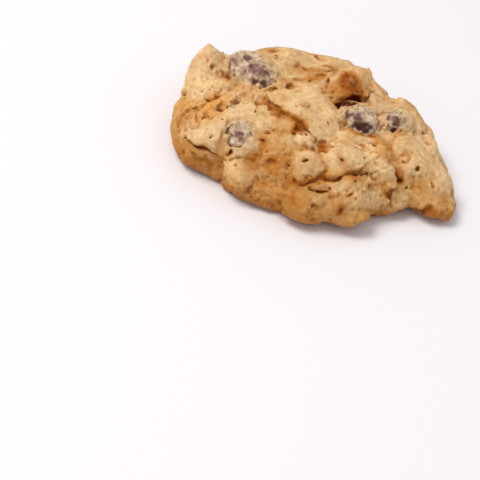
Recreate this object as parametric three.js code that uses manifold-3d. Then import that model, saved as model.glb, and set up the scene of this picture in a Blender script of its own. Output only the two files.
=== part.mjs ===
// Oatmeal raisin cookie: a thick hand-dropped mound of dough with a flat browned underside. Lumps of
// dough swell out of it all round, a few oat flakes and knobs stand clear of it, and plump raisins sit
// half sunk in its top and sides. The dough is one solid, and each raisin is one solid in its own pocket.
//
// Frame: millimetres, +Z up. The origin is under the middle of the cookie, on the flat face that it
// rests on, and +X runs along its widest line.

import * as THREE from "three";
import { mergeVertices } from "three/addons/utils/BufferGeometryUtils.js";
import Module from "manifold-3d";

// ------------------------------------------------------------ driving dimensions, mm and degrees

const MOUND = {
  radius: 31.6, // mean radius at the widest level
  height: 15.1, // height of the smooth mound, before the lumps
  waist: 4.4, // height of the widest level over the underside
  undercut: 0.09, // how far the underside stays inside the widest level, as a share of the radius
  domePower: 3.2, // above 2, a flatter top and steeper shoulders
  shoulder: 1.7, // roundness where the top meets the side
  riseAlongX: -0.04, // rise of the top for each mm along X
  cutDepth: 1.0, // depth of the mound under the flat cut that makes the underside
};

// Swells and dents of the outline: direction, how far it stands out, half width.
const LOBES = [
  { name: "right tip", angle: -19, rise: 5.5, halfWidth: 18 },
  { name: "right dent", angle: 9, rise: -1, halfWidth: 10 },
  { name: "left nose", angle: 203, rise: 3.8, halfWidth: 24 },
  { name: "dent by the nose", angle: 230, rise: -1.8, halfWidth: 11 },
  { name: "front left dent", angle: 256, rise: -2.4, halfWidth: 16 },
  { name: "front dent", angle: -50, rise: -3.8, halfWidth: 15 },
  { name: "left peak side", angle: 166, rise: 1.8, halfWidth: 14 },
  { name: "back left corner", angle: 138, rise: 2.2, halfWidth: 18 },
  { name: "back right dent", angle: 44, rise: -6, halfWidth: 24 },
  { name: "back flat", angle: 90, rise: -0.8, halfWidth: 22 },
];

// Lumps that swell out of the mound: middle of the foot, length and width of the foot, how far the
// lump stands out, and the turn of its long side round the outward normal, from level.
const LUMPS = [
  // top
  { at: [-29, -1, 9], foot: [17, 14], rise: 2.4, turn: 75 }, // left face
  { at: [-24.4, 8, 12], foot: [17, 14], rise: 2.4, turn: 90 }, // behind the left peak
  { at: [-12.5, 14.5, 13.5], foot: [17, 13], rise: 1.8, turn: 10 }, // back ridge, left
  { at: [1, 10, 14], foot: [15, 10], rise: 0.6, turn: -10 }, // back ridge, middle
  { at: [12, 14, 12], foot: [13, 11], rise: 0.4, turn: 0 }, // back ridge, right
  { at: [-3.8, -6.6, 15], foot: [26, 18], rise: 2.2, turn: -52 }, // middle slab
  { at: [-15.5, -3.5, 14], foot: [14, 12], rise: 1.0, turn: 20 }, // behind the curled flake
  { at: [-24.6, -16.2, 9], foot: [20, 12], rise: 3.0, turn: 22 }, // nose
  { at: [-16.2, -17.6, 11.5], foot: [14, 14], rise: 2.2, turn: 0 }, // round the left raisin
  { at: [-7, -21.5, 11.4], foot: [15, 13], rise: 2.2, turn: -10 }, // front shoulder, left
  { at: [0.6, -24, 10.4], foot: [11, 12], rise: 2.0, turn: 0 }, // front shoulder, middle
  { at: [9.8, -19.6, 12], foot: [17, 13], rise: 2.6, turn: -5 }, // front slab
  { at: [24.4, -11.4, 9.6], foot: [15, 13], rise: 2.6, turn: 50 }, // right face
  { at: [20, -1, 12.4], foot: [20, 16], rise: 1.6, turn: -20 }, // round the right raisins
  { at: [23.6, 7.4, 9], foot: [14, 12], rise: 1.2, turn: 10 }, // right shoulder
  // rim, from the left round the front to the right
  { at: [-32, -9, 4], foot: [16, 9], rise: 1, turn: 0 },
  { at: [-28.5, -17.5, 4], foot: [10, 8], rise: 1.2, turn: 0 },
  { at: [-7, -29.6, 4.4], foot: [18, 9], rise: 1.2, turn: 0 },
  { at: [3.6, -30, 5], foot: [14, 11], rise: 2.2, turn: 8 },
  { at: [12.8, -27.4, 5], foot: [15, 11], rise: 3.0, turn: -4 },
  { at: [19.6, -23, 4.6], foot: [13, 10], rise: 2.6, turn: 0 },
  { at: [30.6, -13, 5], foot: [16, 10], rise: 1.8, turn: 10 },
  { at: [34.4, -8.5, 4.6], foot: [14, 10], rise: 0.8, turn: 0 },
  // back, round from the right
  { at: [26.2, 11.5, 5], foot: [15, 10], rise: 1.8, turn: 0 },
  { at: [16, 20.5, 5.4], foot: [15, 10], rise: 1.2, turn: 8 },
  { at: [8, 26.6, 6], foot: [15, 12], rise: 1.4, turn: -6 },
  { at: [-5, 30.6, 4.8], foot: [14, 10], rise: 1.8, turn: 5 },
  { at: [-12, 24.6, 9.4], foot: [14, 12], rise: 1, turn: -20 },
  { at: [-18.6, 27.4, 5], foot: [15, 10], rise: 1.8, turn: 0 },
  { at: [-30.6, 17, 5], foot: [15, 10], rise: 1.4, turn: 0 },
  { at: [-34.4, 4.6, 4.4], foot: [14, 9], rise: 0.8, turn: 0 },
];
const LUMP_ROUND = 0.65; // below 1, a lump with steeper flanks
const LUMP_REACH = 8; // a lump takes no part of the surface further off its foot than this

// Flakes and knobs that stand clear of the mound: middle, size (long, wide, thick), the way the long
// side points, and the way the flat side faces.
const CLEAR = [
  { at: [-29.8, 7.2, 10], size: [18, 16.5, 9], long: [0.05, 0.2, 1], face: [-1, -0.1, 0.2] }, // left peak
  { at: [-30.4, 1.4, 9.2], size: [14, 11, 4.5], long: [0.3, 0.5, 0.8], face: [-0.9, -0.4, 0.5] }, // left flake
  { at: [6.6, 8.6, 15.8], size: [11, 9, 8], long: [1, 0.2, 0], face: [0, -0.2, 1] }, // browned knob
  { at: [-24.6, -10.6, 13.2], size: [12, 7, 3], long: [0.85, 0.35, 0.3], face: [-0.3, -0.2, 0.9] }, // curl
  { at: [18.6, -17.4, 11], size: [13, 6, 4], long: [0.5, -0.45, -0.7], face: [0.5, -0.5, 0.7] }, // fold
  { at: [10.2, -24.6, 10.8], size: [15, 6, 3.5], long: [0.9, 0.3, 0], face: [0.1, -0.6, 0.8] }, // ledge
  { at: [-15.4, -25.4, 6.4], size: [8.5, 6, 4], long: [0.8, -0.5, 0.2], face: [-0.4, -0.8, 0.5] }, // pale flake
  { at: [32, -15.4, 3], size: [13.5, 12, 6], long: [0.84, -0.54, 0], face: [0, 0.1, 1] }, // right tip
  { at: [12.2, 21.4, 7], size: [11, 7, 3.5], long: [0.8, -0.6, 0.1], face: [0.4, 0.6, 0.7] }, // back flake
  { at: [-19.2, 25.6, 5.8], size: [11, 8, 4], long: [0.8, 0.4, 0.2], face: [-0.4, 0.8, 0.5] }, // back left flake
];

// Slow unevenness over the whole mound: depth and length of its waves.
const UNEVEN = { depth: 0.35, wave: 7.5 };

// Raisins: middle, size (long, wide, thick) and the way the long side points.
const RAISINS = [
  { name: "raisin_top_left", at: [-17.4, 5, 15.2], size: [15.5, 10.5, 9.5], long: [0.84, -0.5, -0.2] },
  { name: "raisin_front_left", at: [-16.8, -16.2, 11.2], size: [10.5, 8.5, 8], long: [0.6, -0.5, 0.3] },
  { name: "raisin_top_right", at: [10.8, -3.7, 13.3], size: [11.6, 8.6, 8], long: [0.8, -0.55, -0.15] },
  { name: "raisin_right", at: [19.8, -0.3, 12.3], size: [9.2, 7.6, 7.4], long: [0.6, 0.75, -0.2] },
  { name: "raisin_back", at: [1, 28, 4.9], size: [12, 8.5, 7.6], long: [0.95, 0.1, 0.05] },
  { name: "raisin_back_right", at: [21.4, 14.2, 4.9], size: [11, 8.5, 7.2], long: [-0.5, 0.8, 0.05] },
  { name: "raisin_back_left", at: [-28.2, 17.6, 5.3], size: [11.5, 9, 7.6], long: [0.6, 0.7, 0.05] },
];
const GAP = 0.3; // clearance between a raisin and its pocket

// Fineness of the surfaces.
const MESH = { moundDetail: 16, clearAround: 12, clearUp: 7, raisinAround: 16, raisinUp: 10, profileSteps: 240 };
const CLEAR_WARP = { share: 0.1, waves: 5 }; // uneven surface: depth as a share of the radius
const RAISIN_WARP = { share: 0.06, waves: 9 };

// ------------------------------------------------------------ helpers

const radians = THREE.MathUtils.degToRad;
const wasm = await Module();
wasm.setup();

function bare(geometry) {
  geometry.deleteAttribute("normal");
  geometry.deleteAttribute("uv");
  return mergeVertices(geometry, 1e-4);
}

function solidOf(geometry) {
  const merged = bare(geometry);
  return new wasm.Manifold(
    new wasm.Mesh({
      numProp: 3,
      vertProperties: new Float32Array(merged.attributes.position.array),
      triVerts: new Uint32Array(merged.index.array),
    }),
  );
}

function geometryOf(solid) {
  const mesh = solid.getMesh();
  const geometry = new THREE.BufferGeometry();
  geometry.setAttribute("position", new THREE.Float32BufferAttribute(mesh.vertProperties, mesh.numProp));
  geometry.setIndex([...mesh.triVerts]);
  geometry.computeVertexNormals();
  return geometry;
}

// Three unit vectors at right angles: along the long side, across it, and out of the flat side.
function frameOf(long, face) {
  const first = new THREE.Vector3(...long).normalize();
  const second = new THREE.Vector3(...face).cross(first).normalize();
  const third = new THREE.Vector3().crossVectors(first, second);
  return [first, second, third];
}

// Outward direction of the mound near a point, taken from an ellipsoid of the mound's size.
function outward([x, y, z]) {
  const across = MOUND.radius ** 2;
  const up = (MOUND.height - MOUND.waist) ** 2;
  return new THREE.Vector3(x / across, y / across, (z - MOUND.waist) / up).normalize();
}

// ------------------------------------------------------------ the mound with its lumps

function outlineRadius(angle) {
  let radius = MOUND.radius;
  for (const lobe of LOBES) {
    const off = angle - radians(lobe.angle);
    const nearest = Math.atan2(Math.sin(off), Math.cos(off));
    radius += lobe.rise * Math.exp(-((nearest / radians(lobe.halfWidth)) ** 2));
  }
  return radius;
}

// The cross-section of the mound from the middle of the top, over the side, to the middle of the
// underside, as pairs of radius (a share of the outline) and height. k runs from 0 to 3.
function sectionPoint(k) {
  const turn = (Math.PI / 2) * (k % 1);
  if (k < 1) {
    const share = Math.sin(turn);
    const dome = (1 - share ** MOUND.domePower) ** (1 / MOUND.shoulder);
    return [share, MOUND.waist + (MOUND.height - MOUND.waist) * dome];
  }
  if (k < 2) {
    const drop = MOUND.waist + MOUND.cutDepth;
    return [1 - MOUND.undercut * (1 - Math.cos(turn)), MOUND.waist - drop * Math.sin(turn)];
  }
  return [(1 - MOUND.undercut) * (3 - k), -MOUND.cutDepth];
}

// Points of the cross-section at equal steps of the surface area that they sweep, so that the
// triangles come out about the same size on top and on the side.
function evenSection() {
  const points = [];
  let area = 0;
  let last = sectionPoint(0);
  for (let step = 0; step <= MESH.profileSteps; step++) {
    const point = sectionPoint((3 * step) / MESH.profileSteps);
    const length = Math.hypot((point[0] - last[0]) * MOUND.radius, point[1] - last[1]);
    area += length * (point[0] + last[0]);
    points.push({ share: point[0], z: point[1], area });
    last = point;
  }
  return (part) => {
    const wanted = part * area;
    const after = Math.max(1, points.findIndex((point) => point.area >= wanted));
    const [a, b] = [points[after - 1], points[after]];
    const mix = (wanted - a.area) / Math.max(b.area - a.area, 1e-9);
    return [a.share + (b.share - a.share) * mix, a.z + (b.z - a.z) * mix];
  };
}

const lumpFrames = LUMPS.map((lump) => {
  const normal = outward(lump.at);
  const level = new THREE.Vector3(-lump.at[1], lump.at[0], 0).normalize();
  level.applyAxisAngle(normal, radians(lump.turn));
  return { ...lump, normal, long: level, wide: new THREE.Vector3().crossVectors(normal, level) };
});

// How far the lumps and the slow unevenness lift the surface at a point of the smooth mound.
function lift(point) {
  let rise = 0;
  for (const lump of lumpFrames) {
    const off = point.clone().sub(new THREE.Vector3(...lump.at));
    const far = (off.dot(lump.long) / (lump.foot[0] / 2)) ** 2 + (off.dot(lump.wide) / (lump.foot[1] / 2)) ** 2;
    if (far < 1 && Math.abs(off.dot(lump.normal)) < LUMP_REACH) {
      rise = Math.max(rise, lump.rise * (1 - far) ** LUMP_ROUND);
    }
  }
  const [x, y, z] = point.toArray().map((value) => (2 * Math.PI * value) / UNEVEN.wave);
  return rise + UNEVEN.depth * Math.sin(x + 0.6 * z) * Math.cos(y - 0.8 * z);
}

function moundGeometry() {
  const geometry = bare(new THREE.IcosahedronGeometry(1, MESH.moundDetail));
  const section = evenSection();
  const position = geometry.attributes.position;
  for (let i = 0; i < position.count; i++) {
    const angle = Math.atan2(position.getY(i), position.getX(i));
    const [share, z] = section((1 - position.getZ(i)) / 2);
    const radius = share * outlineRadius(angle);
    const x = radius * Math.cos(angle);
    const y = radius * Math.sin(angle);
    const tilt = (MOUND.riseAlongX * x * Math.max(z, 0)) / MOUND.height;
    const point = new THREE.Vector3(x, y, z + tilt);
    if (z > 0) point.addScaledVector(outward([x, y, z]), lift(point));
    position.setXYZ(i, point.x, point.y, point.z);
  }
  return geometry;
}

// ------------------------------------------------------------ flakes, knobs and raisins

// A ball of the given size with an uneven surface. seed shifts the unevenness.
function unevenBall(size, around, up, warp, seed) {
  const geometry = new THREE.SphereGeometry(0.5, around, up);
  const position = geometry.attributes.position;
  const point = new THREE.Vector3();
  for (let i = 0; i < position.count; i++) {
    point.fromBufferAttribute(position, i);
    const { x, y, z } = point.clone().multiplyScalar(warp.waves);
    const wave = Math.sin(x + 1.7 * seed) * Math.cos(y - 2.3 * seed) + Math.sin(1.4 * z + 3.1 * seed + x);
    point.multiplyScalar(1 + (warp.share * wave) / 2);
    position.setXYZ(i, point.x * size[0], point.y * size[1], point.z * size[2]);
  }
  return geometry;
}

function clearSolid(piece, seed) {
  const geometry = unevenBall(piece.size, MESH.clearAround, MESH.clearUp, CLEAR_WARP, seed);
  geometry.applyMatrix4(new THREE.Matrix4().makeBasis(...frameOf(piece.long, piece.face)));
  geometry.translate(...piece.at);
  return solidOf(geometry);
}

// A raisin about its own middle. grow adds to it on every side, for its pocket.
function raisinGeometry(raisin, grow, seed) {
  const size = raisin.size.map((length) => length + 2 * grow);
  const geometry = unevenBall(size, MESH.raisinAround, MESH.raisinUp, RAISIN_WARP, seed);
  const face = outward(raisin.at).toArray();
  geometry.applyMatrix4(new THREE.Matrix4().makeBasis(...frameOf(raisin.long, face)));
  return bare(geometry);
}

function doughGeometry() {
  const side = 4 * MOUND.radius;
  const above = new THREE.BoxGeometry(side, side, side);
  above.translate(0, 0, side / 2);
  let dough = solidOf(moundGeometry());
  CLEAR.forEach((piece, i) => {
    dough = dough.add(clearSolid(piece, i + 1));
  });
  dough = dough.intersect(solidOf(above));
  RAISINS.forEach((raisin, i) => {
    const pocket = raisinGeometry(raisin, GAP, i + 1);
    pocket.translate(...raisin.at);
    dough = dough.subtract(solidOf(pocket));
  });
  return geometryOf(dough);
}

// ------------------------------------------------------------ the cookie

const doughMaterial = new THREE.MeshStandardMaterial({ color: 0xd9ae74, roughness: 0.9, metalness: 0 });
const cookie = new THREE.Group();
const dough = new THREE.Mesh(doughGeometry(), doughMaterial);
dough.name = "dough";
cookie.add(dough);

RAISINS.forEach((raisin, i) => {
  const material = new THREE.MeshStandardMaterial({ color: 0x5b3a36, roughness: 0.6, metalness: 0 });
  const mesh = new THREE.Mesh(raisinGeometry(raisin, 0, i + 1), material);
  mesh.name = raisin.name;
  mesh.position.set(...raisin.at);
  cookie.add(mesh);
});

// The origin goes under the middle of the whole cookie.
const middle = new THREE.Box3().setFromObject(cookie, true).getCenter(new THREE.Vector3());
cookie.position.set(-middle.x, -middle.y, 0);

export default cookie;
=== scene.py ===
"""Oatmeal raisin cookie, seen as in the photograph: craggy baked dough round plump raisins.

The dough is sculpted as a block of signed distances, in millimetres. The CAD solid gives its mass.
Slabs, lumps, ridges, crevices and holes are laid on it and cut from it, each placed on the surface
it sits on. Those that the photograph shows are named and placed by their pixels in its 480 x 480
frame. On the sides that it doesn't show, slabs, dabs, crumbs, cracks and pores are strewn at random
in the same sizes. Tones painted on the mesh tell the material where the dough is pale or toasted,
where shade is painted in crevices, holes, hollows and under overhangs, and where light is painted
on sides that turn away from the lamp.
"""
import math
from typing import NamedTuple

import bpy
import numpy as np
import openvdb
from mathutils import Matrix, Vector
from mathutils.bvhtree import BVHTree


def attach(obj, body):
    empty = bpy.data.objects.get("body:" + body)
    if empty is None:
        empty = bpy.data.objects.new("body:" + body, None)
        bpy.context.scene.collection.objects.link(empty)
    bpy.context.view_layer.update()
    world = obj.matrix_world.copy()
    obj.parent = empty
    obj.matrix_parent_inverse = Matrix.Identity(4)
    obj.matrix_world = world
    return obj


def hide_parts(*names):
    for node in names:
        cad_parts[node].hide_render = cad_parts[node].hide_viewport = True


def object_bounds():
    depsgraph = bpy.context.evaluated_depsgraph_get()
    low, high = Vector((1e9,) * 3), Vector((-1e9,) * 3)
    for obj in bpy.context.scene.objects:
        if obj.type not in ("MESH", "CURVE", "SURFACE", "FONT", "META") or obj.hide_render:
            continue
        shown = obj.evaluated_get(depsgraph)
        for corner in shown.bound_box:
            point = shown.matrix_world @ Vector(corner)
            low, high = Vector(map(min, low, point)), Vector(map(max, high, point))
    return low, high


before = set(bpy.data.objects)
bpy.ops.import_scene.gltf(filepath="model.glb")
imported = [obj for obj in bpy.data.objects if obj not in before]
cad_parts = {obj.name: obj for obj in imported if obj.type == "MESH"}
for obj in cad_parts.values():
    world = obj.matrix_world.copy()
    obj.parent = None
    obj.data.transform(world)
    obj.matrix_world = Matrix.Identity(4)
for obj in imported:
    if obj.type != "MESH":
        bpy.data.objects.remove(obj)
cad_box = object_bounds()

MM = 0.001
rng = np.random.default_rng(20)
RAISIN_NODES = sorted(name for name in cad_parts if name.startswith("raisin"))


def unit(vector):
    return vector / max(np.linalg.norm(vector), 1e-9)


# ---- camera, as in the photograph

FRAME_PX = 480
HALF_FRAME = FRAME_PX / 2
ELEVATION = math.radians(36.0)  # above the floor
ROLL = math.radians(12.0)  # the cookie's right side hangs lower in the frame
VIEW = math.radians(20.0)  # angle of view
ANCHOR = np.array((-1.73, -4.38, 9.6))  # mm, the point of the cookie that the anchor pixel shows
ANCHOR_PX = (313, 128)
MIDDLE_PX = (313, 140)  # about the middle of the cookie's outline
PX_PER_MM = 290 / 72  # at the anchor


class PhotoCamera:
    """The photograph's camera: where it stands, where it looks, and what a pixel shows."""

    def __init__(self):
        self.focal = HALF_FRAME / math.tan(VIEW / 2)
        back = np.array([0.0, -math.cos(ELEVATION), math.sin(ELEVATION)])
        self.place = ANCHOR + back * (self.focal / PX_PER_MM)
        self.back = unit(self.place - ANCHOR)
        right = np.array([1.0, 0.0, 0.0])
        up = np.cross(back, right)
        rolled_right = right * math.cos(ROLL) + up * math.sin(ROLL)
        rolled_up = up * math.cos(ROLL) - right * math.sin(ROLL)
        aim = Vector(self.through(ANCHOR_PX))
        turn = aim.rotation_difference(Vector((0.0, 0.0, -1.0))).to_matrix()
        self.axes = np.column_stack([rolled_right, rolled_up, back]) @ np.array(turn)

    def through(self, px):
        """Direction of a pixel in the camera's own axes."""
        return unit(np.array([px[0] - HALF_FRAME, HALF_FRAME - px[1], -self.focal]))

    def ray(self, px):
        return self.axes @ self.through(px)

    def project(self, points):
        """Pixels of points, mm."""
        seen = (points - self.place.astype(np.float32)) @ self.axes.astype(np.float32)
        scale = self.focal / -seen[..., 2]
        across, down = seen[..., 0] * scale, seen[..., 1] * scale
        return np.stack([HALF_FRAME + across, HALF_FRAME - down], axis=-1)


def new_object(name, data):
    """A new object in the scene."""
    thing = bpy.data.objects.new(name, data)
    bpy.context.scene.collection.objects.link(thing)
    return thing


def add_camera(photo):
    data = bpy.data.cameras.new("photo_camera")
    data.angle = VIEW
    data.clip_start = 0.01
    camera = new_object("photo_camera", data)
    turn = Matrix(photo.axes.tolist()).to_4x4()
    camera.matrix_world = Matrix.Translation(Vector(photo.place * MM)) @ turn
    bpy.context.scene.camera = camera


# ---- the block of signed distances

STEP = 0.31  # mm between samples
REACH = 5.0  # mm of distance kept on both sides of the surface
MARGIN = 3.5  # mm of the block round the CAD box
NOISE_BAND = 0.45  # spread of the noise's frequencies round its own


def rows_of(items, attribute, kind=np.float32):
    """An attribute of a mesh's vertices or triangles, in rows of three."""
    values = np.empty(len(items) * 3, kind)
    items.foreach_get(attribute, values)
    return values.reshape(-1, 3)


def cad_triangles(name):
    """Vertices (mm) and triangles of a CAD node, each shared corner kept once."""
    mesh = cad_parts[name].data
    mesh.calc_loop_triangles()
    keys = np.round(rows_of(mesh.vertices, "co") / MM, 4)
    kept, where = np.unique(keys, axis=0, return_inverse=True)
    faces = where.reshape(-1)[rows_of(mesh.loop_triangles, "vertices", np.int32)]
    a, b, c = faces.T
    good = (a != b) & (b != c) & (c != a)
    return kept.astype(np.float32), faces[good].astype(np.uint32)


class Block:
    """A box of samples with a step between them, and the noise and the meshes made on it."""

    def __init__(self, low, high, step):
        self.step = step
        self.first = np.floor(np.array(low) / step).astype(int)
        size = np.ceil(np.array(high) / step).astype(int) - self.first + 1
        self.shape = tuple(int(n + n % 2) for n in size)
        self.corner = tuple(int(n) for n in self.first)
        self.axis = [
            ((start + np.arange(count)) * step).astype(np.float32)
            for start, count in zip(self.first, self.shape)
        ]
        frequency = [np.fft.fftfreq(n, step) for n in self.shape[:2]]
        frequency.append(np.fft.rfftfreq(self.shape[2], step))
        fx, fy, fz = np.meshgrid(*frequency, indexing="ij", sparse=True)
        self.frequency = np.sqrt(fx**2 + fy**2 + fz**2).astype(np.float32)

    def filtered(self, field, weight):
        spectrum = np.fft.rfftn(field) * weight
        return np.fft.irfftn(spectrum, s=self.shape, axes=(0, 1, 2)).astype(np.float32)

    def blurred(self, field, radius):
        return self.filtered(field, np.exp(-2 * (math.pi * radius * self.frequency) ** 2))

    def noise(self, wave):
        """Smooth noise with a spread of 1 and swells half a wave across, wave in mm."""
        white = rng.standard_normal(self.shape, dtype=np.float32)
        band = np.exp(-(((self.frequency * wave - 1) / NOISE_BAND) ** 2))
        field = self.filtered(white, band)
        return field / field.std()

    def distance(self, points, triangles):
        """Signed distance to a closed mesh, mm, negative inside, cut off at REACH."""
        grid = openvdb.FloatGrid.createLevelSetFromPolygons(
            points,
            triangles=triangles,
            transform=openvdb.createLinearTransform(voxelSize=self.step),
            halfWidth=REACH / self.step,
        )
        field = np.empty(self.shape, np.float32)
        grid.copyToArray(field, ijk=self.corner)
        return field

    def mesh(self, field):
        """The surface where the field is zero, as points (mm) and quads that face out."""
        grid = openvdb.FloatGrid(REACH)
        grid.transform = openvdb.createLinearTransform(voxelSize=self.step)
        grid.copyFromArray(field, ijk=self.corner)
        return grid.convertToQuads(isovalue=0.0)

    def at(self, field, points):
        """Values of a field at points, blended from the eight samples round each."""
        place = points / self.step - self.first
        low = np.clip(np.floor(place).astype(int), 0, np.array(self.shape) - 2)
        part = place - low
        total = np.zeros(len(points))
        for corner in range(8):
            side = np.array([corner & 1, corner >> 1 & 1, corner >> 2 & 1])
            i, j, k = (low + side).T
            weight = np.prod(np.where(side, part, 1 - part), axis=1)
            total += weight * field[i, j, k]
        return total

    def places(self):
        """The places of all samples, mm."""
        return np.stack(np.meshgrid(*self.axis, indexing="ij"), axis=-1)

    def window(self, centre, reach):
        """Slices of the part of the block within reach of a point, and its samples' places."""
        slices = []
        for middle, start, count in zip(centre, self.first, self.shape):
            low = int(np.floor((middle - reach) / self.step)) - start
            high = int(np.ceil((middle + reach) / self.step)) - start + 1
            low = min(max(low, 0), count - 2)
            slices.append(slice(low, min(max(high, low + 2), count)))
        axes = (axis[part] for axis, part in zip(self.axis, slices))
        return tuple(slices), np.stack(np.meshgrid(*axes, indexing="ij"), axis=-1)


def blend_in(a, b, soft):
    """Smooth minimum of two distances, with a fillet as wide as soft, and b's share in it."""
    mix = np.clip(0.5 + 0.5 * (a - b) / soft, 0, 1)
    return a + (b - a) * mix - soft * mix * (1 - mix), mix


def rounded_corner(a, b, soft):
    """Smooth maximum of two distances: where both are inside, with the edge rounded."""
    return -blend_in(-a, -b, soft)[0]


# ---- outlines and lines


def stretches(chain, closed):
    """The starts and the ends of the straight stretches of a chain."""
    return (chain, np.roll(chain, -1, axis=0)) if closed else (chain[:-1], chain[1:])


def distance_to_chain(points, chain, closed):
    """Distance from points to the nearest of a chain's straight stretches."""
    best = np.full(points.shape[:-1], 1e6, np.float32)
    for a, b in zip(*stretches(chain, closed)):
        way = (b - a).astype(np.float32)
        off = points - a.astype(np.float32)
        along = np.clip(off @ way / max(float(way @ way), 1e-6), 0, 1)
        best = np.minimum(best, np.linalg.norm(off - along[..., None] * way, axis=-1))
    return best


def inside_polygon(px, corners):
    """True for the pixels inside a polygon of pixels."""
    inside = np.zeros(px.shape[:-1], bool)
    for (x1, y1), (x2, y2) in zip(*stretches(corners, closed=True)):
        if y1 == y2:
            continue
        crosses = (y1 > px[..., 1]) != (y2 > px[..., 1])
        at = x1 + (px[..., 1] - y1) * (x2 - x1) / (y2 - y1)
        inside ^= crosses & (px[..., 0] < at)
    return inside


def out_of_polygon(px, corners):
    """Distance of pixels out of a polygon of pixels, in mm at the anchor, negative inside."""
    away = distance_to_chain(px, corners, closed=True) / PX_PER_MM
    return np.where(inside_polygon(px, corners), -away, away)


def rounded_off(corners, closed):
    """The chain with its corners cut twice."""
    chain = np.array(corners, float)
    for _ in range(2):
        starts, ends = stretches(chain, closed)
        cut = [starts * 0.75 + ends * 0.25, starts * 0.25 + ends * 0.75]
        cut = np.stack(cut, axis=1).reshape(-1, 2)
        chain = cut if closed else np.vstack([chain[:1], cut, chain[-1:]])
    return chain


def turned(off, degrees):
    """The two parts of offsets along axes turned by an angle."""
    turn = math.radians(degrees)
    x, y = off[..., 0], off[..., 1]
    return x * math.cos(turn) + y * math.sin(turn), y * math.cos(turn) - x * math.sin(turn)


def oval_size(px, spot):
    """How far pixels are from the middle of an oval spot, where its edge is 1."""
    x, y = turned(px - np.array(spot.at, np.float32), spot.turn)
    return np.hypot(x / spot.half[0], y / spot.half[1])


# ---- dough

SINK = 0.75  # mm that the dough between the slabs lies under the CAD surface
BRIDGED = 1.0  # mm round each raisin that counts as dough in the bare shape
SMOOTHED = 0.8  # mm, blur that takes the facets off the CAD shape
SWELL, SWELL_WAVE = 0.3, 12.0  # mm, slow unevenness of the bare dough
SHIFTS = (0.35, 5.0), (0.1, 2.2)  # mm and wave in mm, unevenness of outlines and lines
SEARCH_PX = 60  # furthest that a pixel beside the cookie is moved inwards to find it
SEEN_WITHIN = 2.5  # mm from the bare surface, for a place that counts as shown
NARROWS = 0.6  # share of its width that a crevice loses towards its bottom
SHADE_REACH = 0.7  # mm round a crevice or hole that its painted shade reaches
CUT_ROUNDED = 0.2  # mm, rounding of its mouth


class Patch:
    """The samples near a place, with the foot of each on the bare dough and its height over it."""

    def __init__(self, dough, centre, reach):
        self.slices, self.points = dough.block.window(centre, reach)
        self.height = dough.base[self.slices]
        slope = np.stack(np.gradient(self.height, dough.block.step), axis=-1)
        self.normal = slope / np.maximum(np.linalg.norm(slope, axis=-1, keepdims=True), 0.1)
        self.foot = self.points - self.height[..., None] * self.normal + dough.warp[self.slices]


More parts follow.
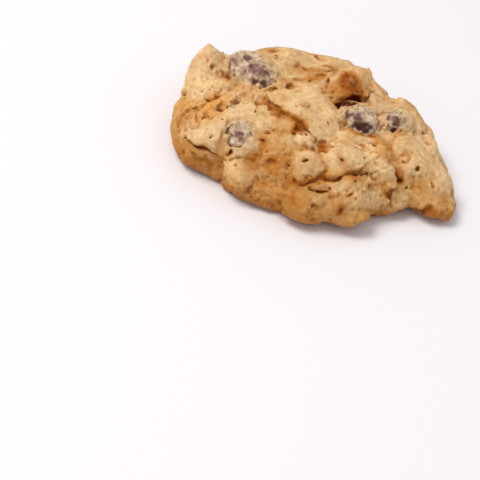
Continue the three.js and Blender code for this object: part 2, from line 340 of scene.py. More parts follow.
class Dough:
    """The sculpted dough: its distance field, and the tone fields that colour it."""

    def __init__(self, block, photo):
        self.block, self.photo = block, photo
        self.surface = cad_triangles("dough")
        solid = block.distance(*self.surface)
        self.raisins = {name: block.distance(*cad_triangles(name)) for name in RAISIN_NODES}
        for raisin in self.raisins.values():
            solid = np.minimum(solid, raisin + BRIDGED)
        self.base = block.blurred(solid, SMOOTHED) + SINK + SWELL * block.noise(SWELL_WAVE)
        self.field = self.base.copy()
        shifts = [sum(size * block.noise(wave) for size, wave in SHIFTS) for _ in range(3)]
        self.warp = np.stack(shifts, axis=-1)
        self.pale = np.zeros(block.shape, np.float32)
        # the tone of toast and shade: the crust's own browning, and painted shade in crevices,
        # holes and shadows
        self.toast_and_shade = np.zeros(block.shape, np.float32)
        bare_points, bare_quads = block.mesh(self.base)
        self.tree = BVHTree.FromPolygons(bare_points.tolist(), bare_quads.tolist())

    def first_met(self, way):
        """The point of the bare dough, mm, that a ray from the camera meets first, or None."""
        return self.tree.ray_cast(Vector(self.photo.place), Vector(way))[0]

    def shown(self, px):
        """The point of the bare dough, mm, that a pixel or the first one inwards of it shows."""
        inwards = unit(np.array(MIDDLE_PX) - np.array(px))
        for step in range(SEARCH_PX):
            point = self.first_met(self.photo.ray(px + step * inwards))
            if point is not None:
                return np.array(point)
        raise ValueError(f"no dough near pixel {px}")

    def foot_of(self, px, rise):
        """The point of the bare dough whose surface, raised by rise, a pixel shows."""
        foot = self.shown(px)
        top = foot + self.normal(foot, spread=2.0) * rise
        return self.shown(np.array(px) + self.photo.project(foot) - self.photo.project(top))

    def is_shown(self, place):
        """True if the photograph shows this place of the solid."""
        point = self.first_met(unit(place - self.photo.place))
        return point is not None and np.linalg.norm(np.array(point) - place) < SEEN_WITHIN

    def normal(self, point, spread=1.2):
        """Outward direction of the bare dough near a point."""
        steps = np.vstack([np.eye(3), -np.eye(3)]) * spread
        heights = self.block.at(self.base, point + steps)
        return unit(heights[:3] - heights[3:])

    def add(self, slices, distance, soft, pale, toast_and_shade):
        """Joins a shape to the dough with a fillet as wide as soft, and gives it its tones."""
        field, mix = blend_in(self.field[slices], distance, soft)
        self.field[slices] = field
        for tone, value in ((self.pale, pale), (self.toast_and_shade, toast_and_shade)):
            tone[slices] += (value - tone[slices]) * mix

    def cut(self, slices, distance, soft, toast_and_shade=0.0):
        """Cuts a shape out of the dough, and paints shade on the dough close to it."""
        field, _ = blend_in(-self.field[slices], distance, soft)
        self.field[slices] = -field
        near = toast_and_shade * np.clip(1 - distance / SHADE_REACH, 0, 1)
        self.toast_and_shade[slices] = np.maximum(self.toast_and_shade[slices], near)

    def slab(self, patch, side, rise, lip, edge, tones):
        """A sheet of dough: side is the distance out of its outline, its foot set back by lip."""
        share = np.clip(patch.height / np.maximum(rise, 0.3), -1.0, 1.0)
        wall = side + lip * (1 - share)
        sheet = rounded_corner(patch.height - rise, wall, edge)
        self.add(patch.slices, sheet, 0.5 * edge, *tones)

    def crevice(self, patch, away, width, depth, toast_and_shade=0.0):
        """A crack or hole with painted shade, narrower towards its bottom: away is the distance
        from its middle.
        """
        sunk = np.clip(-patch.height / max(depth, 0.1), 0, 1)
        below = np.maximum(-patch.height - depth, 0)
        radius = width / 2 * (1 - NARROWS * sunk)
        self.cut(patch.slices, np.hypot(away, below) - radius, CUT_ROUNDED, toast_and_shade)


# ---- what the photograph shows


class Slab(NamedTuple):
    """A sheet of dough, whose far side is lower than its high side by the share fall."""

    name: str
    rise: float  # mm over the bare dough, on the high side
    high: tuple  # pixel of the high side
    fall: float
    outline: tuple  # pixels
    pale: float = 0.0
    toast_and_shade: float = 0.0
    edge: float = 0.9  # mm, rounding of the edge
    lip: float = 0.25  # mm that the foot is set back under the edge


class Lump(NamedTuple):
    """A rounded lump, its middle sunk under the bare dough."""

    name: str
    at: tuple  # pixel of the middle
    half: tuple  # half sizes, pixels
    deep: float  # half depth along the view, mm
    sunk: float  # mm along the view
    turn: float = 0  # degrees
    pale: float = 0.0
    toast_and_shade: float = 0.0


class Ridge(NamedTuple):
    """A roll or thin lip of dough that stands along a line."""

    name: str
    rise: float  # mm
    radius: float  # mm
    along: tuple  # pixels
    pale: float = 0.0
    toast_and_shade: float = 0.0


class Crevice(NamedTuple):
    """A crack along a line. With a depth below zero it is only a groove in what stands there."""

    name: str
    width: float  # mm, at the mouth
    depth: float  # mm under the bare dough
    along: tuple  # pixels
    # painted shade in the crack and round its mouth
    toast_and_shade: float = 0.3


class Hole(NamedTuple):
    """A pit or pore."""

    name: str
    at: tuple  # pixel
    radius: float  # mm
    depth: float  # mm under the bare dough
    # painted shade in the pit and round its mouth
    toast_and_shade: float = 0.3


class Tint(NamedTuple):
    """An oval spot, and what it adds to each tone of the dough that the photograph shows there."""

    name: str
    at: tuple  # pixel of the middle
    half: tuple  # half sizes, pixels
    turn: float = 0  # degrees
    pale: float = 0.0
    toast_and_shade: float = 0.0
    film: float = 0.0
    gold: float = 0.0


SLABS = (
    Slab("peak face", 0.9, (209, 46), 0.85, pale=0.9, outline=(
         (209, 42), (221, 52), (226, 68), (219, 82), (208, 95), (190, 104), (180, 100),
         (182, 82), (190, 61), (199, 50))),
    Slab("ledge", 0.9, (186, 105), 0.45, pale=0.5, edge=0.4, lip=0.5, outline=(
         (174, 104), (186, 102), (197, 103), (196, 107), (186, 108), (175, 108))),
    Slab("roll under the top left raisin", 1.0, (250, 87), 0.65, toast_and_shade=0.2, outline=(
         (233, 88), (246, 84), (258, 88), (267, 95), (260, 99), (246, 92), (235, 94))),
    Slab("curl", 1.2, (203, 105), 0.3, toast_and_shade=0.3, edge=0.4, lip=0.3, outline=(
         (198, 125), (197, 115), (202, 106), (211, 101), (224, 98), (237, 97), (240, 102),
         (228, 110), (215, 117), (206, 123))),
    Slab("fold", 1.9, (204, 130), 0.35, pale=0.7, edge=0.8, lip=0.7, outline=(
         (183, 137), (190, 131), (202, 124), (214, 117), (228, 108), (242, 101), (252, 99),
         (257, 110), (249, 120), (240, 121), (231, 125), (226, 132), (223, 142), (215, 150),
         (202, 148), (191, 143))),
    Slab("sheet right of the fold", 0.8, (262, 112), 0.65, pale=0.5, edge=0.6, outline=(
         (255, 103), (268, 109), (281, 117), (293, 127), (288, 136), (274, 131), (262, 126),
         (252, 118))),
    Slab("middle slab", 1.7, (300, 112), 0.85, pale=0.85, edge=0.6, lip=0.5, outline=(
         (262, 93), (276, 88), (292, 84), (308, 80), (320, 86), (332, 96), (340, 108),
         (343, 120), (338, 131), (324, 138), (313, 138), (303, 127), (294, 118), (284, 110),
         (272, 104))),
    Slab("slab step", 1.3, (326, 124), 0.65, pale=0.5, edge=0.6, lip=0.3, outline=(
         (312, 132), (322, 122), (336, 118), (344, 126), (341, 136), (328, 140), (318, 140))),
    Slab("front slab", 2.1, (336, 160), 0.7, pale=0.9, edge=0.4, lip=0.7, outline=(
         (324, 150), (333, 146), (353, 145), (362, 148), (369, 157), (368, 168), (362, 170),
         (350, 173), (336, 177), (328, 174), (325, 165), (322, 157))),
    Slab("sheet under the front slab", 1.0, (350, 182), 0.75, pale=0.6, edge=0.6, outline=(
         (322, 178), (340, 177), (356, 175), (370, 173), (382, 182), (378, 191), (356, 190),
         (336, 192), (322, 188))),
    Slab("folded sheet", 1.3, (390, 172), 0.75, pale=0.8, edge=0.5, lip=0.5, outline=(
         (366, 146), (374, 148), (383, 156), (392, 165), (396, 174), (394, 184), (387, 193),
         (381, 186), (376, 174), (370, 162))),
    Slab("rough dough", 0.9, (270, 160), 0.75, toast_and_shade=0.2, outline=(
         (255, 146), (268, 142), (282, 146), (290, 156), (286, 170), (272, 176), (258, 172),
         (252, 158))),
    Slab("upper rough dough", 0.8, (278, 140), 0.75, toast_and_shade=0.05, outline=(
         (262, 128), (276, 130), (292, 136), (306, 142), (300, 149), (284, 145), (266, 142))),
    Slab("top ridge", 0.9, (290, 56), 0.65, pale=0.3, outline=(
         (276, 52), (290, 49), (302, 54), (304, 64), (292, 68), (279, 64))),
    Slab("sheet right of the raisins", 0.9, (402, 142), 0.75, pale=0.3, outline=(
         (388, 138), (402, 134), (413, 140), (414, 152), (404, 158), (392, 154))),
    Slab("oval flake", 1.5, (411, 169), 0.65, pale=0.9, edge=0.6, lip=0.4, outline=(
         (411, 157), (416, 164), (415, 174), (409, 183), (403, 178), (406, 166))),
    Slab("pale side", 0.9, (428, 172), 0.75, pale=0.7, outline=(
         (418, 160), (430, 152), (440, 162), (443, 178), (434, 188), (421, 184))),
    Slab("shoulder", 0.8, (418, 124), 0.75, pale=0.35, outline=(
         (404, 108), (416, 110), (428, 128), (434, 144), (424, 148), (412, 134), (404, 122))),
    Slab("top sheet behind the raisins", 0.8, (390, 103), 0.65, pale=0.3, outline=(
         (374, 99), (388, 98), (402, 103), (410, 112), (396, 110), (380, 105))),
    Slab("belly lump", 1.3, (366, 200), 0.85, pale=0.5, edge=0.8, lip=0.2, outline=(
         (344, 198), (356, 191), (374, 190), (386, 197), (387, 208), (374, 215), (356, 217),
         (345, 209))),
    Slab("left belly lump", 0.8, (328, 211), 0.75, pale=0.4, toast_and_shade=0.2, lip=0.3, outline=(
         (316, 205), (326, 200), (337, 204), (339, 213), (334, 222), (320, 221), (313, 213))),
    Slab("low sheet", 0.9, (404, 196), 0.75, pale=0.1, outline=(
         (392, 190), (406, 184), (422, 188), (434, 196), (428, 207), (410, 208), (394, 205))),
    Slab("rim lump", 0.9, (282, 198), 0.75, toast_and_shade=0.3, outline=(
         (268, 190), (284, 186), (302, 192), (310, 202), (300, 211), (284, 206), (270, 200))),
    Slab("rim foot", 1.8, (232, 193), 0.4, toast_and_shade=0.4, outline=(
         (218, 180), (228, 182), (242, 192), (254, 200), (250, 208), (232, 200))),
    Slab("right tip", 1.2, (448, 206), 0.75, toast_and_shade=0.35, lip=0.3, outline=(
         (440, 196), (449, 191), (457, 200), (454, 214), (446, 221), (438, 214))),
    Slab("smooth rim flake", 1.1, (236, 166), 0.4, pale=0.7, edge=1.0, lip=0.3, outline=(
         (223, 163), (231, 158), (243, 160), (251, 170), (255, 183), (248, 191), (238, 186),
         (228, 175))),
)

LUMPS = (
    Lump("lump by the peak", (224, 88), (12, 8), deep=2.0, sunk=1.2, pale=0.3),
    Lump("knob, upper lobe", (348, 84), (10, 13), deep=2.6, sunk=0.6, turn=-12, toast_and_shade=0.4),
    Lump("knob, lower lobe", (350, 95), (18, 7), deep=2.8, sunk=0.0, turn=-4, toast_and_shade=0.4),
    Lump("flake behind the knob", (359, 77), (5, 9), deep=1.2, sunk=0.6, turn=-35, pale=0.4),
    Lump("spike", (371, 77), (4.5, 14), deep=1.8, sunk=0.0, turn=-4, pale=0.4),
    Lump("yellow flake", (382, 92), (9, 6), deep=1.2, sunk=0.5, turn=20, pale=0.9),
    Lump("pale ridge lump", (313, 74), (8, 6), deep=1.8, sunk=1.0, toast_and_shade=0.5),
    Lump("red ridge lump", (326, 71), (7, 6), deep=1.8, sunk=0.8, toast_and_shade=1.0),
    Lump("orange lump by the raisin", (269, 53), (9, 6), deep=1.8, sunk=0.8, toast_and_shade=0.6),
    Lump("orange roll", (294, 74), (11, 6), deep=1.8, sunk=0.9, turn=-14, toast_and_shade=0.6),
    Lump("orange flake", (380, 147), (5.5, 9.5), deep=1.4, sunk=0.3, turn=-30, toast_and_shade=0.7),
    Lump("ring lump", (306, 167), (16, 16), deep=2.8, sunk=1.5, pale=0.6),
    Lump("dome behind the front slab", (354, 141), (16, 9), deep=2.4, sunk=1.2, turn=12, pale=0.7),
    Lump("lower corner of the tip", (447, 213), (9, 9), deep=2.2, sunk=0.6, toast_and_shade=0.2),
    Lump("foot of the rim", (262, 203), (26, 9), deep=2.8, sunk=0.8, turn=22, toast_and_shade=0.3),
    Lump("foot of the right belly", (388, 207), (20, 9), deep=2.8, sunk=0.8, turn=-14, toast_and_shade=0.1),
    Lump("round shoulder", (419, 117), (27, 10), deep=3.2, sunk=0.0, turn=56, pale=0.3),
    Lump("right side", (437, 154), (24, 8), deep=3.0, sunk=0.0, turn=62, pale=0.5),
    Lump("foot of the belly", (350, 217), (20, 11), deep=3.0, sunk=1.2, toast_and_shade=0.2),
    Lump("below the main crevice", (304, 142), (10, 6), deep=1.8, sunk=0.5, turn=30, pale=0.4),
    Lump("below the shoulder", (426, 134), (12, 9), deep=3.0, sunk=0.0, turn=60, pale=0.4),
    Lump("left lobe of the knob", (338, 92), (8, 9), deep=2.4, sunk=0.6, toast_and_shade=0.4),
    Lump("left edge of the peak", (189, 79), (7, 13), deep=2.6, sunk=0.2, turn=10, pale=0.5),
    Lump("right corner of the knob", (362, 93), (7, 5), deep=2.0, sunk=0.0, turn=35, toast_and_shade=0.6),
)

RIDGES = (
    Ridge("inner fold", rise=1.5, radius=0.5, pale=0.4, along=(
          (371, 155), (378, 164), (384, 173), (385, 182))),
    Ridge("crease over the belly", rise=1.3, radius=0.5, toast_and_shade=0.15, along=(
          (364, 180), (371, 178), (380, 182), (386, 184))),
    Ridge("side roll", rise=1.2, radius=0.9, pale=0.4, along=((420, 156), (430, 168), (432, 182))),
    Ridge("crease on the sheet", rise=1.3, radius=0.5, toast_and_shade=0.1, along=(
          (262, 148), (270, 154), (282, 152))),
    Ridge("lip by the front raisin", rise=1.2, radius=0.7, pale=0.3, along=(
          (221, 152), (232, 153), (246, 149), (255, 142))),
    Ridge("rim of the curl", rise=2.2, radius=0.5, toast_and_shade=0.2, along=(
          (199, 124), (199, 115), (205, 107), (214, 103), (226, 99), (236, 98))),
    Ridge("lip of the front slab", rise=2.1, radius=0.4, pale=0.4, along=(
          (324, 171), (337, 175), (350, 171), (358, 170), (367, 168))),
    Ridge("lip of the folded sheet", rise=1.9, radius=0.4, pale=1.0, along=(
          (364, 134), (371, 143), (379, 153), (388, 163), (394, 172), (395, 183), (388, 194))),
    Ridge("lip over the main crevice", rise=1.8, radius=0.4, pale=0.9, along=(
          (262, 97), (274, 105), (288, 114), (300, 123), (309, 134), (319, 141))),
)

CREVICES = (
    Crevice("main", width=1.0, depth=1.0, toast_and_shade=1.3, along=(
            (256, 101), (270, 106), (284, 113), (296, 122), (303, 129))),
    Crevice("main, lower", width=0.8, depth=1.4, toast_and_shade=1.5, along=(
            (303, 129), (311, 138), (321, 146))),
    Crevice("under the nose", width=1.0, depth=1.2, along=(
            (181, 138), (191, 144), (202, 148), (213, 153), (224, 158))),
    Crevice("slit", width=0.8, depth=1.2, toast_and_shade=1.6, along=((261, 143), (266, 140))),
    Crevice("under the ring lump", width=0.9, depth=0.8, toast_and_shade=1.2, along=(
            (284, 178), (292, 182), (302, 184), (312, 183), (320, 178), (324, 169))),
    Crevice("under the front slab", width=1.3, depth=0.9, toast_and_shade=0.9, along=(
            (322, 175), (330, 178), (338, 179), (345, 176), (354, 174), (362, 174), (368, 172))),
    Crevice("beside the folded sheet", width=0.8, depth=0.8, toast_and_shade=1.0, along=(
            (384, 158), (392, 167), (398, 176), (399, 184))),
    Crevice("under the orange roll", width=0.8, depth=1.2, toast_and_shade=0.9, along=(
            (278, 85), (288, 82), (300, 80))),
    Crevice("under the ridge lumps", width=0.8, depth=1.0, toast_and_shade=1.0, along=(
            (308, 80), (316, 80), (322, 80))),
    Crevice("under the knob", width=1.8, depth=1.4, toast_and_shade=2.6, along=(
            (338, 105), (343, 107), (351, 107), (359, 104))),
    Crevice("left of the orange flake", width=0.9, depth=1.3, toast_and_shade=1.3, along=(
            (374, 144), (378, 151), (385, 158))),
    Crevice("inner crease", width=0.6, depth=0.5, along=((373, 160), (379, 168), (383, 178))),
    Crevice("belly crease", width=0.8, depth=1.2, toast_and_shade=1.2, along=(
            (308, 191), (316, 192), (324, 191))),
    Crevice("belly seam", width=0.6, depth=0.7, along=(
            (340, 211), (336, 204), (342, 197), (352, 192))),
    Crevice("rim crack", width=1.4, depth=2.0, toast_and_shade=1.4, along=(
            (405, 212), (416, 214), (430, 212))),
    Crevice("raisin gap", width=0.6, depth=1.2, toast_and_shade=1.5, along=(
            (272, 74), (275, 81), (274, 87))),
    Crevice("crease under the lump", width=0.6, depth=0.6, along=(
            (208, 84), (209, 92), (214, 98))),
    Crevice("crease on the rim", width=0.6, depth=0.7, along=((255, 176), (262, 184), (272, 186))),
    Crevice("inside the curl", width=0.6, depth=0.5, toast_and_shade=0.6, along=(
            (199, 127), (206, 119), (216, 112), (228, 107), (239, 103))),
    Crevice("behind the curl", width=0.7, depth=0.7, toast_and_shade=0.7, along=(
            (195, 120), (197, 111), (204, 103), (214, 98), (227, 95))),
    Crevice("fold in the knob", width=1.5, depth=-1.8, toast_and_shade=0.8, along=(
            (345, 77), (350, 86), (357, 93))),
)

HOLES = (
    Hole("hollow below the top right raisin", (373, 131), 1.4, 1.2, toast_and_shade=2.0),
    Hole("main hole", (301, 127), 1.3, 2.2, toast_and_shade=2.6),
    Hole("hole in the notch", (321, 149), 0.6, 2.0, toast_and_shade=2.4),
    Hole("notch", (325, 144), 1.3, 0.7, toast_and_shade=1.4),
    Hole("belly hole", (341, 211), 0.7, 1.6, toast_and_shade=2.2),
    Hole("slab pore", (341, 160), 0.55, 0.8, toast_and_shade=1.2),
    Hole("small slab pore", (340, 154), 0.4, 0.5, toast_and_shade=0.8),
    Hole("side hole", (419, 165), 0.6, 1.0, toast_and_shade=0.8),
    Hole("hole under the oval flake", (400, 180), 0.8, 1.2, toast_and_shade=1.4),
    Hole("hole under the fold", (388, 194), 0.6, 1.1, toast_and_shade=1.4),
    Hole("side dent", (424, 135), 0.6, 0.1),
    Hole("pit under the sheet", (357, 182), 0.45, 0.7),
    Hole("hole by the peak", (229, 75), 0.55, 1.6, toast_and_shade=1.8),
    Hole("peak dent", (213, 67), 0.7, 0.1),
    Hole("lump pit", (223, 85), 0.35, 0.2),
    Hole("middle pore", (299, 111), 0.45, 0.5),
    Hole("small middle pore", (306, 109), 0.3, 0.2),
    Hole("pit right of the raisin", (265, 133), 0.5, 0.6, toast_and_shade=1.2),
    Hole("pit above", (262, 122), 0.3, 0.3),
    Hole("rough pit", (293, 153), 0.5, 0.8, toast_and_shade=1.0),
    Hole("pit by the ring lump", (291, 162), 0.5, 0.7, toast_and_shade=0.9),
    Hole("pit under the ring lump", (290, 174), 0.4, 0.7, toast_and_shade=0.8),
    Hole("pit in the ring lump", (306, 163), 0.7, 0.4, toast_and_shade=0.8),
    Hole("rough hollow", (269, 164), 1.2, 0.5, toast_and_shade=0.8),
    Hole("pit right of the fold", (274, 123), 0.4, 0.5, toast_and_shade=0.8),
    Hole("pit under the raisin", (234, 149), 0.4, 0.6, toast_and_shade=0.8),
    Hole("second pit under the raisin", (251, 148), 0.4, 0.6, toast_and_shade=0.8),
    Hole("nose slit", (210, 138), 0.35, 0.3),
    Hole("ridge pit", (321, 80), 0.4, 0.6),
    Hole("tip spot", (452, 193), 0.5, 0.3),
    Hole("ridge shade", (277, 57), 0.5, 0.6),
    Hole("left rim hollow", (180, 155), 1.6, 0.3),
    Hole("third pit under the raisin", (240, 144), 0.35, 0.5, toast_and_shade=0.8),
    Hole("fourth pit under the raisin", (244, 152), 0.45, 0.7, toast_and_shade=0.8),
)

# Outline of the cookie, pixels, from its left end along the underside to the tip and back on top.
OUTLINE = (
    (170, 130), (172, 145), (183, 166), (208, 175), (233, 196), (251, 203), (279, 213),
    (298, 222), (313, 225), (328, 228), (351, 228), (361, 222), (389, 215), (400, 210),
    (411, 211), (426, 217), (437, 221), (449, 222), (455, 211), (457, 200), (452, 178),
    (444, 161), (438, 149), (436, 137), (429, 124), (416, 105), (403, 97), (391, 94), (383, 88),
    (378, 84), (373, 78), (371, 65), (366, 68), (354, 65), (348, 59), (323, 55), (292, 48),
    (266, 45), (254, 51), (241, 50), (229, 55), (222, 53), (209, 43), (200, 50), (191, 61),
    (184, 74), (181, 84), (181, 97), (174, 105), (170, 120)
)

# Some tints paint shade with toast: the shadow under the knob, the shade below the raisins, between
# and left of the belly lumps, left of the front raisin, in the crease right of the folded sheet,
# under the tip, and partly on the low left rim, whose baked brown it also deepens. Some paint light
# with pale on sides turned away from the lamp: the right side, the right edge, the low right side
# and the belly.
TINTS = (
    Tint("peak", (206, 66), (20, 24), pale=0.7, toast_and_shade=-0.3),
    Tint("right side of the peak", (219, 61), (8, 16), pale=0.5, toast_and_shade=-0.6),
    Tint("left face, upper", (190, 93), (16, 14), pale=0.6, toast_and_shade=-0.3),
    Tint("left face, lower", (181, 124), (12, 20), pale=-0.2, toast_and_shade=0.35),
    Tint("under the top left raisin", (238, 97), (18, 8), turn=10, pale=0.8, toast_and_shade=-0.3),
    Tint("nose", (210, 124), (34, 12), turn=-28, pale=0.8, toast_and_shade=-0.2),
    Tint("curl", (214, 108), (20, 9), turn=-34, gold=0.9),
    # partly baked brown, partly painted shade where the rim faces down
    Tint("low left rim", (208, 162), (38, 14), turn=26, toast_and_shade=0.35),
    Tint("rough dough", (272, 156), (26, 20), turn=20, pale=-0.3, toast_and_shade=0.35),
    Tint("smooth rim flake", (239, 173), (13, 15), turn=-45, pale=0.5, toast_and_shade=-0.6),
    Tint("rim", (284, 204), (50, 14), turn=18, toast_and_shade=0.2),
    Tint("left of the middle slab", (282, 92), (18, 9), pale=-0.3, toast_and_shade=0.2),
    Tint("middle slab, lower lip", (307, 136), (9, 14), turn=-30, pale=0.9, toast_and_shade=-0.3),
    Tint("ridge lumps", (318, 73), (14, 8), pale=-0.3, toast_and_shade=0.5),
    Tint("right of the front slab", (366, 158), (14, 22), turn=-20, pale=0.8, toast_and_shade=-0.5),
    Tint("top ridge", (292, 57), (24, 9), turn=12, pale=0.5, toast_and_shade=0.1),
    Tint("knob", (350, 88), (16, 17), pale=-0.4, toast_and_shade=0.5),
    # pale here is painted light on the belly, which faces away from the lamp
    Tint("belly", (346, 203), (50, 14), pale=0.1, toast_and_shade=-0.1),
    Tint("tip", (448, 208), (14, 14), toast_and_shade=0.1),
    # painted light on the right side, which faces away from the lamp
    Tint("right side", (431, 156), (17, 30), turn=-24, pale=1.0, toast_and_shade=-0.4),
    Tint("ring lump", (306, 166), (15, 14), pale=0.2, toast_and_shade=-0.3),
    Tint("round the right raisins", (384, 118), (24, 20), pale=0.3, toast_and_shade=-0.3, film=0.35),
    # painted light on the low right side, which the lamp leaves in shade
    Tint("low right side", (400, 203), (42, 13), turn=4, pale=0.8, toast_and_shade=-0.2),
    Tint("film below the front raisin", (242, 145), (15, 11), film=0.6),
    Tint("right of the knob", (373, 88), (9, 12), pale=0.8, toast_and_shade=-0.5),
    # painted shade between the belly lumps
    Tint("between the belly lumps", (343, 199), (12, 8), toast_and_shade=0.5),
    # painted shade beside the belly lumps
    Tint("left of the belly", (301, 199), (11, 8), toast_and_shade=0.4),
    Tint("shadow under the knob", (347, 104), (11, 2.5), turn=-4, toast_and_shade=2.4),
    Tint("flake edge of the front slab", (346, 172), (24, 3), turn=-8, gold=0.5),
    Tint("orange flake", (381, 148), (6, 11), turn=-30, toast_and_shade=0.2, gold=0.6),
    Tint("yellow ledge", (184, 105), (12, 4), gold=0.4),
    Tint("heart of the knob", (353, 85), (8, 16), turn=-35, toast_and_shade=0.5),
    Tint("left lobe of the knob", (336, 92), (7, 9), toast_and_shade=-0.2),
    Tint("dough below the main crevice", (306, 145), (14, 10), turn=30, pale=0.8, toast_and_shade=-0.5),
    # painted shadow at the left edge of the front raisin
    Tint("left of the front raisin", (221, 146), (5, 9), turn=10, toast_and_shade=0.4),
    Tint("end of the fold", (245, 108), (14, 8), turn=-30, pale=0.6, toast_and_shade=-0.4),
    Tint("shade below the right raisin", (398, 131), (9, 4), turn=10, toast_and_shade=1.0),
    # painted light on the right edge, which turns away from the lamp
    Tint("right edge", (446, 176), (9, 34), turn=-20, pale=0.6, toast_and_shade=-0.5),
    Tint("right of the front raisin", (257, 147), (11, 6), turn=-20, toast_and_shade=0.4),
    Tint("shade below the top right raisin", (368, 134), (12, 3.5), turn=10, toast_and_shade=1.8),
    Tint("corner of the middle slab", (327, 130), (14, 8), pale=0.7, toast_and_shade=-0.4),
    Tint("left of the main crevice", (286, 124), (13, 9), turn=30, toast_and_shade=0.3),
    # painted shade in the crease
    Tint("crease right of the folded sheet", (399, 170), (3.5, 14), turn=-12, toast_and_shade=0.6),
    Tint("foot of the folded sheet", (386, 193), (5, 6), toast_and_shade=0.7),
    # painted shade under the tip
    Tint("underside of the tip", (436, 214), (20, 4), toast_and_shade=0.5),
)

OUTLINE_LEVEL = 0.6  # share of a slab's rise at which its outline was read
MOUTH = 0.6  # mm that the mouth of a crevice or hole lies over the bare dough
CRUMBLY = 0.12  # mm, unevenness of the dough between the pale sheets, which are smoother
CRUMB = (0.75, 1.8), (0.45, 1.1)  # share and wave in mm of its finer parts
LINE_SPARE, HOLE_REACH = 3.0, 3.5  # mm of samples round a line or hole
LUMP_JOIN, RIDGE_JOIN = 0.5, 0.35  # mm, fillets to the dough round them
LUMP_UNEVEN = 0.15  # share of the shifts that dents a lump
EDGE_ON = 0.05  # cosine to the view under which the dough is turned away and a slab ends
END_SLOPE = 8.0  # mm of distance out of the slab for each unit of that cosine
TINT_FULL, TINT_END = 0.7, 1.4  # shares of its size where a tint starts to fade and ends
NEAR_SURFACE = 2.5  # mm, the samples that the cookie's outline trims


def tinted(dough, piece, places, tone):
    """What the tints add to one tone at the places of a piece that face the photo's camera."""
    normals = rows_of(piece.data.vertex_normals, "vector")
    facing = np.clip(2 * normals @ dough.photo.back, 0, 1)
    px = dough.photo.project(places)
    total = np.zeros(len(places))
    for tint in TINTS:
        share = (TINT_END - oval_size(px, tint)) / (TINT_END - TINT_FULL)
        total += tint._asdict()[tone] * np.clip(share, 0, 1)
    return total * facing


def shown_chain(dough, pixels, rise, closed=False):
    """The chain of points on the bare dough whose tops the pixels show, with rounded corners."""
    return np.array([dough.foot_of(px, rise) for px in rounded_off(pixels, closed)])


def patch_round(dough, points, spare):
    centre = points.mean(axis=0)
    return Patch(dough, centre, np.abs(points - centre).max() + spare)


def patch_along(dough, points):
    """The samples round a line on the dough, and how far the foot of each is from the line."""
    patch = patch_round(dough, points, LINE_SPARE)
    return patch, distance_to_chain(patch.foot, points, closed=False)


def turned_away(dough, patch):
    """Grows past zero, mm, where the dough turns away from the photograph's camera."""
    ahead = patch.normal @ dough.photo.back.astype(np.float32)
    return (EDGE_ON - ahead) * END_SLOPE


def lay_slab(dough, slab):
    points = shown_chain(dough, slab.outline, OUTLINE_LEVEL * slab.rise, closed=True)
    patch = patch_round(dough, points, 2.5)
    inside = inside_polygon(dough.photo.project(patch.foot), dough.photo.project(points))
    away = distance_to_chain(patch.foot, points, closed=True)
    side = np.maximum(np.where(inside, -away, away), turned_away(dough, patch))
    high = dough.shown(slab.high)
    span = np.linalg.norm(points - high, axis=1).max()
    share = np.linalg.norm(patch.foot - high, axis=-1) / span
    rise = (slab.rise * (1 - slab.fall * share)).astype(np.float32)
    dough.slab(patch, side, rise, slab.lip, slab.edge, (slab.pale, slab.toast_and_shade))


def lay_lump(dough, lump):
    middle = dough.shown(lump.at) + lump.sunk * dough.photo.ray(lump.at)
    wide, high = (half / PX_PER_MM for half in lump.half)
    patch = Patch(dough, middle, max(wide, high, lump.deep) + 2.0)
    off = (patch.points - middle) @ dough.photo.axes.astype(np.float32)
    x, y = turned(off, -lump.turn)  # pixels run down, and these axes up
    size = np.sqrt((x / wide) ** 2 + (y / high) ** 2 + (off[..., 2] / lump.deep) ** 2)
    uneven = LUMP_UNEVEN * dough.warp[patch.slices][..., 0]
    away = (size - 1) * min(wide, high, lump.deep) + uneven
    dough.add(patch.slices, away, LUMP_JOIN, lump.pale, lump.toast_and_shade)


def lay_ridge(dough, ridge):
    patch, away = patch_along(dough, shown_chain(dough, ridge.along, ridge.rise))
    over = np.maximum(patch.height - (ridge.rise - ridge.radius), 0)
    roll = np.hypot(away, over) - ridge.radius
    dough.add(patch.slices, roll, RIDGE_JOIN, ridge.pale, ridge.toast_and_shade)


def carve_crevice(dough, crevice):
    patch, away = patch_along(dough, shown_chain(dough, crevice.along, MOUTH))
    dough.crevice(patch, away, crevice.width, crevice.depth, crevice.toast_and_shade)


def carve_hole(dough, hole):
    point = dough.foot_of(hole.at, MOUTH)
    patch = Patch(dough, point, HOLE_REACH)
    away = np.linalg.norm(patch.foot - point, axis=-1)
    dough.crevice(patch, away, 2 * hole.radius, hole.depth, hole.toast_and_shade)


def trimmed_to_outline(block, field, photo):
    """The field without what would show outside the cookie's outline in the photograph."""
    near = np.abs(field) < NEAR_SURFACE
    outside = out_of_polygon(photo.project(block.places()[near]), np.array(OUTLINE, float))
    trimmed = field.copy()
    trimmed[near] = rounded_corner(field[near], outside, soft=0.5)
    return trimmed


def roughen(dough):
    block = dough.block
    crumbly = CRUMBLY * np.clip(1.1 - block.blurred(dough.pale, 0.8), 0.25, 1.0)
    swell = 0.7 * np.abs(block.noise(3.2))
    for size, wave in CRUMB:
        swell = swell + size * block.noise(wave)
    dough.field += crumbly * swell


# ---- what is strewn all round

SPARED = 0.8  # share of the strewn slabs and cracks left out where the photograph shows its own


class Strewn(NamedTuple):
    """Oval pieces of dough strewn over the surface, sizes in mm."""

    count: int
    long: tuple
    rise: tuple
    wobble: float  # unevenness of the outline, as a share of its radius
    lip: float
    edge: float
    spared: float  # share left out where the photograph shows its own


